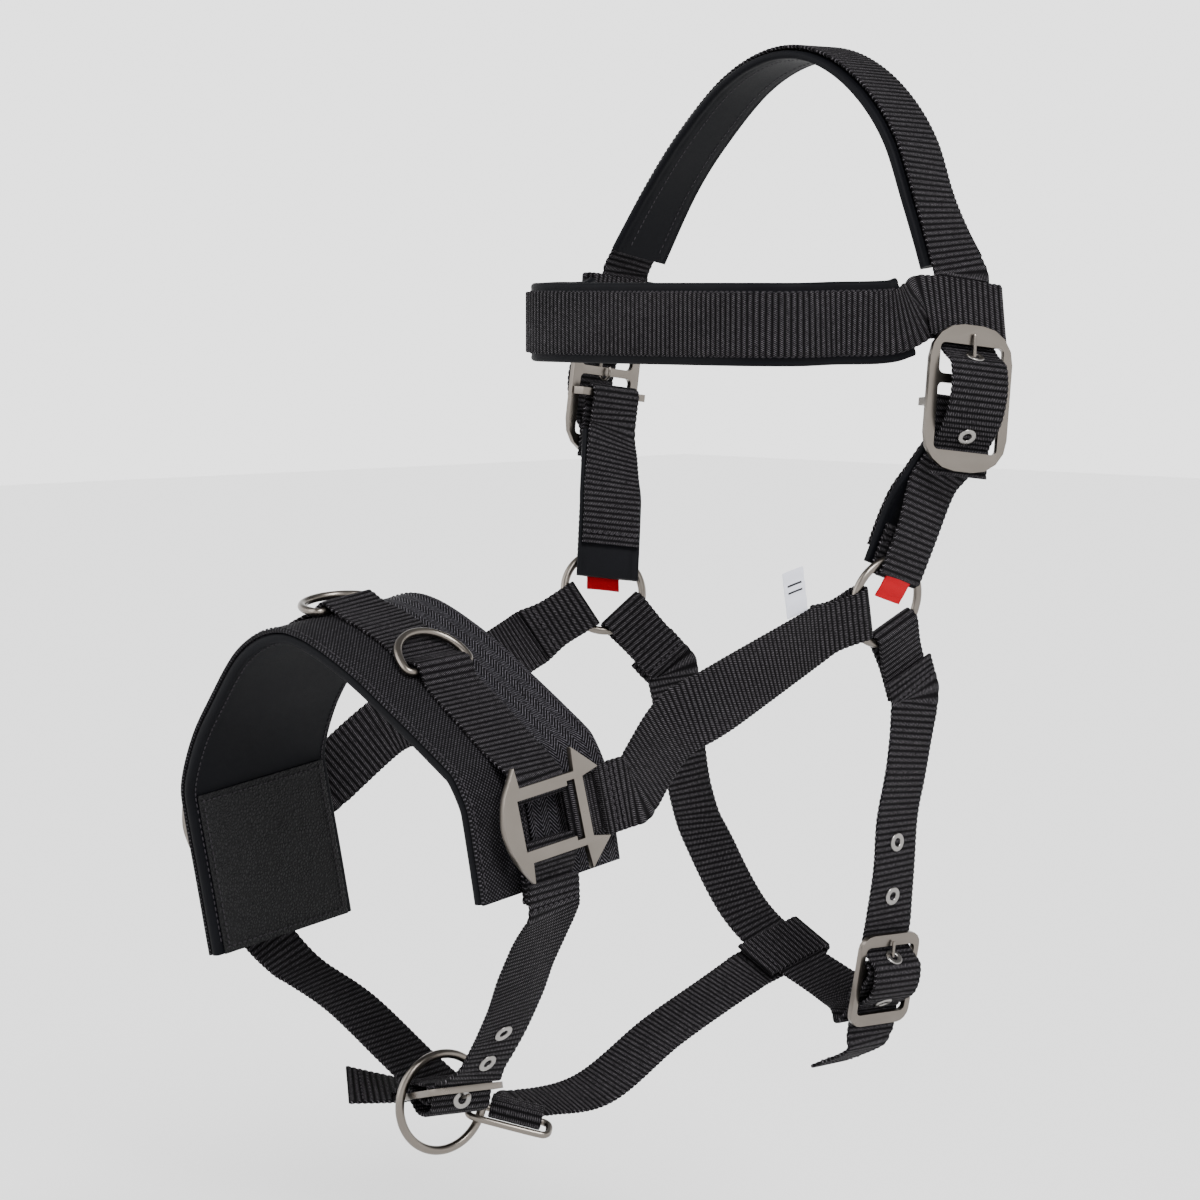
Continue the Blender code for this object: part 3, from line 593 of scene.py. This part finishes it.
def ribs(depth):
    """Round ribs across the strap, with edges that scallop in step with them."""
    def push(s, across, out):
        drift = RIB_SWAY * np.sin(across * 160.0 + s * 37.0) * 0.5
        wave = np.abs(np.sin(math.pi * (s + drift) / RIB)) ** 0.7
        return depth * (wave - 0.72)
    return push


STRAPS = ["crown_strap", "browband_strap", "noseband_overlay", "jowl_strap"]
STRAPS += [f"{strap}_{side}" for side in ("left", "right") for strap in
           ("cheekpiece", "cheek_strap", "cheek_tab", "chin_strap", "chin_tab", "throat_strap",
            "throat_tab")]
routes, pieces = {}, {}
for node in STRAPS:
    routes[node] = strap_route(node, RIB / RIB_STEPS)
    pieces[node] = sweep(node + "_web", routes[node], WEBBING, 0.7 * MM, push=ribs(RIB_DEPTH))
print("webbing:", round(sum(route.length for route in routes.values()), 2), "m")

# %% [markdown]
# ## Linings and the noseband
# The linings are smooth foam. They bulge a little between their edges, and their rims are rounded
# and drawn in by the stitching. A swept section gives that crown directly, without simulation.

# %% Foam linings
def pillow(rise, seam_from_edge, groove, half_width):
    """Foam that stands proud in the middle and is drawn in under a seam near each edge."""
    def push(s, across, out):
        inside = np.clip(1.0 - (np.abs(across) / half_width) ** 4, 0.0, 1.0)
        seam = np.exp(-((half_width - np.abs(across) - seam_from_edge) / (1.0 * MM)) ** 2)
        ripple = 0.12 * MM * np.sin(s * 330.0 + across * 90.0) * seam
        return rise * inside - groove * seam * (out != 0) + ripple
    return push


LININGS = {"crown_lining": 0.3, "browband_lining": 0.3, "cheekpiece_lining_left": 0.25,
           "cheekpiece_lining_right": 0.25, "noseband_pad": 0.3}
for node, rise in LININGS.items():
    routes[node] = strap_route(node, 1.0 * MM)
    half = float(np.median(routes[node].half_width))
    pieces[node] = sweep(node + "_foam", routes[node], FOAM, 2.0 * MM, 31,
                         pillow(rise * MM, 3.5 * MM, 0.35 * MM, half))
print("lining lengths:", {node: round(routes[node].length, 3) for node in LININGS}, "m")

# %% [markdown]
# ## Noseband layers
# Over the pad lie a wide twill cover and a strip of canvas, and a grained panel lines each end.
# They are swept like the straps with hardly any relief, because these weaves are flat.

# %% Make the noseband layers
def flat_cloth(depth, pitch):
    """A faint weave, up and down in both directions."""
    def push(s, across, out):
        return depth * np.sin(math.tau * s / pitch) * np.sin(math.tau * across / pitch)
    return push


routes["noseband_webbing"] = strap_route("noseband_webbing", 0.8 * MM)
pieces["noseband_webbing"] = sweep("noseband_herringbone", routes["noseband_webbing"], HERRINGBONE,
                                   0.8 * MM, 41, flat_cloth(0.05 * MM, 2.5 * MM))
routes["noseband_canvas"] = strap_route("noseband_canvas", 0.8 * MM)
pieces["noseband_canvas"] = sweep("noseband_canvas_strip", routes["noseband_canvas"], CANVAS,
                                  0.8 * MM, 31, flat_cloth(0.05 * MM, 1.8 * MM))
for side in ("left", "right"):
    node = f"end_panel_{side}"
    routes[node] = strap_route(node, 1.0 * MM)
    pieces[node] = sweep(node + "_cover", routes[node], PANEL, 0.45 * MM, 41)
print("noseband cover:", round(routes["noseband_webbing"].length, 3), "m round the nose")

# %% [markdown]
# ## Tags and label
# The red tags are ribbon that curls a little at its sides; the white size label is satin.
# Their wording is left out, and the label has two plain stripes instead.

# %% Tags and label
TAG_UP, TAG_DOWN = 3.5 * MM, 2.5 * MM


def curled(rise, half_width):
    """Ribbon that bows towards its sides, with fine waves along it."""
    def push(s, across, out):
        return out * rise * ((across / half_width) ** 2 + 0.3 * np.sin(s * 900.0))
    return push


for node, finish in (("side_tag_left", RED_TAG), ("side_tag_right", RED_TAG),
                     ("size_label", WHITE_LABEL)):
    routes[node] = strap_route(node, 0.4 * MM)
    if finish is RED_TAG:
        routes[node].lengthen(TAG_UP, TAG_DOWN)
    half = float(np.median(routes[node].half_width))
    pieces[node] = sweep(node + "_cloth", routes[node], finish, 0.3 * MM, 25,
                         curled(0.35 * MM, half))
print("red tag:", round(routes["side_tag_left"].length, 4), "m long")

# %% [markdown]
# ## Bodies and slots
# Each cloth piece takes the place of one frame node and moves with that node's body.

SLOTS = {"noseband_canvas": "canvas", "side_tag_left": "red_tag", "side_tag_right": "red_tag",
         "size_label": "white_label", "end_panel_left": "grip_panel",
         "end_panel_right": "grip_panel"}
for node, piece in pieces.items():
    slot = "foam_lining" if node in LININGS else SLOTS.get(node, "webbing")
    declare(piece, slot, node)
    node in LININGS
print("cloth pieces:", len(pieces), "of them padded:", len(LININGS))

# %% [markdown]
# ## Stitching
# Every seam is a row of short raised stitches. One stitch is modelled as a small drawn-out bead
# and copied along the seams of a strap; the copies are then joined into one piece.

# %% One stitch
STITCH, PITCH = 2.3 * MM, 3.1 * MM
STITCH_WIDE, STITCH_HIGH = 0.42 * MM, 0.30 * MM
bpy.ops.object.select_all(action="DESELECT")
bpy.ops.mesh.primitive_uv_sphere_add(segments=6, ring_count=5, radius=1.0, location=(0, 0, 0))
bead = bpy.context.object
bead.name = "bead"
bpy.ops.transform.resize(value=(STITCH / 2, STITCH_WIDE, STITCH_HIGH))
bpy.ops.object.transform_apply(location=True, rotation=True, scale=True)
print("one stitch has", len(bead.data.polygons), "faces")


# %% Where stitches go
SEAM_END, SEAM_EDGE = 6 * MM, 2.5 * MM


def seam_along(route, across, face, end=SEAM_END):
    """Places of stitches in a row that runs along a strap, on one of its faces."""
    run = np.arange(end, route.length - end, PITCH)
    for i in np.searchsorted(route.s, run):
        i = min(int(i), len(route.s) - 1)
        yield (route.at(i, across * route.half_width[i], face * (route.thick / 2 + 0.25 * MM)),
               route.along[i], route.normal[i])


def seam_across(route, s, face):
    """Places of stitches in a row from one edge of a strap to the other."""
    i = int(np.argmin(np.abs(route.s - s)))
    half = route.half_width[i] - SEAM_EDGE
    for x in np.arange(-half, half + 0.1 * MM, PITCH):
        yield (route.at(i, x, face * (route.thick / 2 + 0.3 * MM)), route.across[i],
               route.normal[i])


def long_seams(route, share, end=SEAM_END):
    """A row beside each long edge on both faces, at this share of the half width."""
    return [place for side in (1, -1) for face in (1, -1)
            for place in seam_along(route, side * share, face, end)]


def end_seams(route, rows):
    """Rows across both ends on both faces, this many millimetres in."""
    return [place for row in rows for s in (row * MM, route.length - row * MM)
            for face in (1, -1) for place in seam_across(route, s, face)]


print("stitches across one end of a cheek strap:",
      len(list(seam_across(routes["cheek_strap_left"], 6 * MM, 1))))

# %% Sew a strap
def sew(node, slot, places):
    """Copies of the stitch at these places, joined into one piece."""
    copies = []
    for point, along, up in places:
        copy = bead.copy()
        copy.data = bead.data.copy()
        x, z = Vector(along).normalized(), Vector(up).normalized()
        turned = Matrix((x, z.cross(x), z)).transposed().to_4x4()
        copy.matrix_world = Matrix.Translation(Vector(point)) @ turned
        bpy.context.scene.collection.objects.link(copy)
        copies.append(copy)
    bpy.ops.object.select_all(action="DESELECT")
    for copy in copies:
        copy.select_set(True)
    bpy.context.view_layer.objects.active = copies[0]
    bpy.ops.object.join()
    piece = bpy.context.object
    piece.name = node + "_stitches"
    bpy.ops.object.transform_apply(location=True, rotation=True, scale=True)
    bpy.ops.object.shade_smooth()
    piece.data.materials.clear()
    piece.data.materials.append(THREAD)
    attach(piece, BODIES[node])
    return len(copies)


count = 0
ENDS = {"cheek_strap": (6, 10), "cheek_tab": (4, 8), "throat_tab": (4, 8), "chin_tab": (4, 8),
        "cheekpiece": (5, 9), "chin_strap": (6, 10), "throat_strap": (6, 10)}
ends = [(f"{kind}_{side}", rows) for kind, rows in ENDS.items() for side in ("left", "right")]
ends += [("jowl_strap", (6, 10)), ("browband_strap", (24, 28)), ("noseband_overlay", (6, 10))]
for node, rows in ends:
    count += sew(node, "webbing", end_seams(routes[node], rows))
for node, share, slot in (("crown_lining", 0.55, "foam_lining"),
                          ("browband_lining", 0.78, "foam_lining"),
                          ("noseband_webbing", 0.90, "webbing"),
                          ("noseband_canvas", 0.86, "canvas"),
                          ("noseband_pad", 0.92, "foam_lining")):
    count += sew(node, slot, long_seams(routes[node], share))
for node in ("end_panel_left", "end_panel_right"):
    route = routes[node]
    count += sew(node, "grip_panel", long_seams(route, 0.93, 3 * MM) + end_seams(route, (3,)))
bpy.ops.object.select_all(action="DESELECT")
bead.select_set(True)
bpy.ops.object.delete()
print("stitches:", count)

# %% [markdown]
# ## Hardware
# Buckles and fittings are cast and D-rings are bent, then all are barrel polished, so no edge is
# sharp. Each is a copy of its plain frame node with its edges rounded, so its holes and bars keep
# their places. The side fittings are the exception: they are moved outwards by a set distance, so
# that their bars stand in front of the strap loops and not inside them.

# %% Measure a node
def measured(node):
    """A round or flat node's middle, axis, and its points' distances from and along that axis."""
    points = np.array([v.co for v in frame["nodes"][node].data.vertices])
    middle = (points.max(axis=0) + points.min(axis=0)) / 2
    middle = points.mean(axis=0) if "eyelet" in node else middle
    axis = np.linalg.svd(points - points.mean(axis=0), full_matrices=False)[2][2]
    flat = points - middle
    depth = flat @ axis
    radii = np.linalg.norm(flat - np.outer(depth, axis), axis=1)
    return Vector(middle), Vector(axis), radii, depth


print("a cheek ring's widest radius:", round(measured("cheek_ring_left")[2].max(), 4), "m")

# %% Copy and finish a node
def copy_node(node, name):
    """A copy with its own mesh, its loose triangles merged, left in edit mode."""
    piece = frame["nodes"][node].copy()
    piece.data = frame["nodes"][node].data.copy()
    piece.parent = None
    piece.name = name
    for key in list(piece.keys()):
        del piece[key]
    bpy.context.scene.collection.objects.link(piece)
    activate(piece)
    bpy.ops.object.mode_set(mode="EDIT")
    bpy.ops.mesh.select_all(action="SELECT")
    bpy.ops.mesh.remove_doubles(threshold=MERGE)
    return piece


def apply_all(piece):
    activate(piece)
    for modifier in list(piece.modifiers):
        bpy.ops.object.modifier_apply(modifier=modifier.name)


def finish_metal(piece, finish, slot, node, angle=40):
    piece.data.materials.clear()
    piece.data.materials.append(finish)
    activate(piece)
    bpy.ops.object.shade_smooth_by_angle(angle=math.radians(angle))
    declare(piece, slot, node)


# %% Cast frames
ARC_CORNER = (8, 50)
ARC_BEVEL, ARC_STEPS = 4.5 * MM, 5


def raised(piece, node, proud):
    """Moves a side fitting out past its strap loops and rounds the corners of its arc."""
    middle, axis = measured(node)[:2]
    outwards = axis if axis.x * middle.x > 0 else -axis
    bpy.ops.object.mode_set(mode="EDIT")
    bpy.ops.mesh.select_all(action="SELECT")
    bpy.ops.transform.translate(value=outwards * proud)
    bpy.ops.mesh.select_mode(type="EDGE")
    bpy.ops.mesh.select_all(action="DESELECT")
    shape = bmesh.from_edit_mesh(piece.data)
    for edge in shape.edges:
        run = (edge.verts[1].co - edge.verts[0].co).normalized()
        turn = math.degrees(edge.calc_face_angle(0.0))
        edge.select = abs(run.dot(axis)) > 0.95 and ARC_CORNER[0] < turn < ARC_CORNER[1]
    bmesh.update_edit_mesh(piece.data)
    bpy.ops.mesh.bevel(offset=ARC_BEVEL, segments=ARC_STEPS, affect="EDGES", clamp_overlap=True)
    bpy.ops.object.mode_set(mode="OBJECT")


def rounded_plate(node, width, proud=0.0):
    """A cast frame or buckle: flat faces cleaned of triangles, every edge rounded."""
    piece = copy_node(node, node + "_cast")
    bpy.ops.mesh.dissolve_limited(angle_limit=math.radians(1.0))
    bpy.ops.object.mode_set(mode="OBJECT")
    if proud:
        raised(piece, node, proud)
    bevel = piece.modifiers.new("rounded", "BEVEL")
    bevel.width, bevel.segments = width, 4
    bevel.limit_method, bevel.angle_limit = "ANGLE", math.radians(35)
    apply_all(piece)
    finish_metal(piece, NICKEL, "satin_nickel", node)
    return len(piece.data.polygons)


# %% Bent wires
LOST_TO_SMOOTHING = 0.06


def bent_wire(node, wire_radius):
    """Smooths a many-sided wire and gives back the thickness that smoothing takes."""
    piece = copy_node(node, node + "_wire")
    bpy.ops.mesh.tris_convert_to_quads(face_threshold=math.radians(60),
                                       shape_threshold=math.radians(60))
    bpy.ops.object.mode_set(mode="OBJECT")
    smooth = piece.modifiers.new("round", "SUBSURF")
    smooth.levels = smooth.render_levels = 2
    apply_all(piece)
    bpy.ops.object.mode_set(mode="EDIT")
    bpy.ops.mesh.select_all(action="SELECT")
    bpy.ops.transform.shrink_fatten(value=-wire_radius * LOST_TO_SMOOTHING)
    bpy.ops.object.mode_set(mode="OBJECT")
    finish_metal(piece, NICKEL, "satin_nickel", node, 80)
    return len(piece.data.polygons)


# %% Buckles, fittings and D-rings
BUCKLE_EDGE, FITTING_EDGE, FITTING_PROUD = 0.9 * MM, 1.0 * MM, 5.0 * MM
TONGUE_WIRE, RING_WIRE, LINK_WIRE = 1.0 * MM, 2.3 * MM, 2.0 * MM
faces = 0
for side in ("left", "right"):
    faces += rounded_plate(f"crown_buckle_{side}", BUCKLE_EDGE)
    faces += rounded_plate(f"side_fitting_{side}", FITTING_EDGE, FITTING_PROUD)
    faces += bent_wire(f"crown_tongue_{side}", TONGUE_WIRE)
for strap in ("chin", "throat"):
    faces += rounded_plate(f"{strap}_buckle", BUCKLE_EDGE)
    faces += bent_wire(f"{strap}_tongue", TONGUE_WIRE)
for which in ("left", "centre", "right"):
    faces += bent_wire(f"lunge_ring_{which}", RING_WIRE)
faces += bent_wire("chin_link", LINK_WIRE)
print("faces in the cast and bent metal:", faces)

# %% [markdown]
# ## Round rings
# A ring is a torus primitive, turned to lie where the frame's ring lies. Its middle, axis and size
# are measured on the frame's ring.

# %% Rings
for node in ("cheek_ring_left", "cheek_ring_right", "chin_ring"):
    middle, axis, radii, depth = measured(node)
    turned = Vector((0, 0, 1)).rotation_difference(axis).to_euler()
    bpy.ops.object.select_all(action="DESELECT")
    bpy.ops.mesh.primitive_torus_add(major_segments=96, minor_segments=24, location=middle,
                                     rotation=turned, major_radius=(radii.max() + radii.min()) / 2,
                                     minor_radius=(radii.max() - radii.min()) / 2)
    piece = bpy.context.object
    piece.name = node + "_bent"
    bpy.ops.object.transform_apply(location=True, rotation=True, scale=True)
    finish_metal(piece, NICKEL, "satin_nickel", node, 80)
    print(node, "outside diameter:", round(2 * radii.max(), 4), "m")

# %% [markdown]
# ## Eyelets
# An eyelet is a short tube of thin metal whose rims are rolled outwards. A cylinder's two end faces
# are inset and bridged into a bore, and a bevel rolls the rims.

# %% Eyelets
EYELETS = [node for node in BODIES if "_eyelet_" in node]
FLANGE = 0.56
ROLL = 0.62 * MM
for node in EYELETS:
    middle, axis, radii, depth = measured(node)
    turned = Vector((0, 0, 1)).rotation_difference(axis).to_euler()
    outer, rim = radii.max(), np.abs(depth).max()
    bpy.ops.object.select_all(action="DESELECT")
    bpy.ops.mesh.primitive_cylinder_add(vertices=48, radius=outer, depth=rim * 2,
                                        end_fill_type="NGON", location=(0, 0, 0))
    piece = bpy.context.object
    piece.name = node + "_rolled"
    bpy.ops.object.mode_set(mode="EDIT")
    bpy.ops.mesh.select_mode(type="FACE")
    bpy.ops.mesh.select_all(action="DESELECT")
    shape = bmesh.from_edit_mesh(piece.data)
    for face in shape.faces:
        face.select = abs(face.normal.z) > 0.9
    bmesh.update_edit_mesh(piece.data)
    bpy.ops.mesh.inset(thickness=outer * FLANGE, depth=0.0)
    bpy.ops.mesh.bridge_edge_loops()
    bpy.ops.object.mode_set(mode="OBJECT")
    bevel = piece.modifiers.new("rolled", "BEVEL")
    bevel.width, bevel.segments = ROLL, 4
    bevel.limit_method, bevel.angle_limit = "ANGLE", math.radians(50)
    apply_all(piece)
    piece.location, piece.rotation_euler = middle, turned
    activate(piece)
    bpy.ops.object.transform_apply(location=True, rotation=True, scale=True)
    finish_metal(piece, EYELET, "bright_nickel", node, 50)
print("eyelets:", len(EYELETS))

# %% [markdown]
# ## Stage
# A pale floor under a plain sky, white at the horizon and dimmer overhead, so that black cloth
# isn't greyed from above. Two soft suns light it from both sides, and a long lens looks from the
# left front.

# %% Floor
FLOOR = -0.66
bpy.ops.object.select_all(action="DESELECT")
bpy.ops.mesh.primitive_plane_add(size=14.0, location=(0, 0, FLOOR))
floor = bpy.context.object
floor.name = "studio_floor"
paper = Finish("white_paper", (0.92, 0.92, 0.92), 0.9)
paper.give("Roughness", 0.86 + paper.noise(scale=3.0) * 0.08)
floor.data.materials.append(paper.material)

# %% Sky
world = bpy.data.worlds.new("studio")
bpy.context.scene.world = world
world.use_nodes = True
sky = world.node_tree
aim = sky.nodes.new("ShaderNodeTexCoord")
height = sky.nodes.new("ShaderNodeSeparateXYZ")
fade = sky.nodes.new("ShaderNodeMapRange")
fade.interpolation_type = "SMOOTHSTEP"
for name, value in (("From Min", 0.22), ("From Max", 0.60), ("To Min", 2.5), ("To Max", 0.35)):
    fade.inputs[name].default_value = value
sky.links.new(aim.outputs["Generated"], height.inputs[0])
sky.links.new(height.outputs["Z"], fade.inputs["Value"])
sky.links.new(fade.outputs[0], sky.nodes["Background"].inputs["Strength"])
sky.nodes["Background"].inputs["Color"].default_value = (1.0, 1.0, 1.0, 1.0)
print("sky strength overhead:", round(fade.inputs["To Max"].default_value, 2))

# %% Lights and camera
MIDDLE = Vector((-0.0536, -0.0894, -0.2690))
SUNS = {"key": ((0.75, -0.25, 0.85), 5.0, 25.0), "fill": ((-0.5, -0.9, 0.7), 2.4, 50.0)}
for name, (place, strength, spread) in SUNS.items():
    bpy.ops.object.light_add(type="SUN", location=MIDDLE + Vector(place))
    lamp = bpy.context.object
    lamp.name = name
    lamp.data.energy, lamp.data.angle = strength, math.radians(spread)
    lamp.rotation_euler = (-Vector(place)).to_track_quat("-Z", "Y").to_euler()

bpy.ops.object.camera_add(location=(1.2363, -1.3350, -0.1121))
camera = bpy.context.object
camera.data.sensor_width, camera.data.lens = 36.0, 108.0
camera.rotation_euler = (MIDDLE - camera.location).to_track_quat("-Z", "Y").to_euler()
bpy.context.scene.camera = camera
print("camera distance:", round((MIDDLE - camera.location).length, 2), "m")
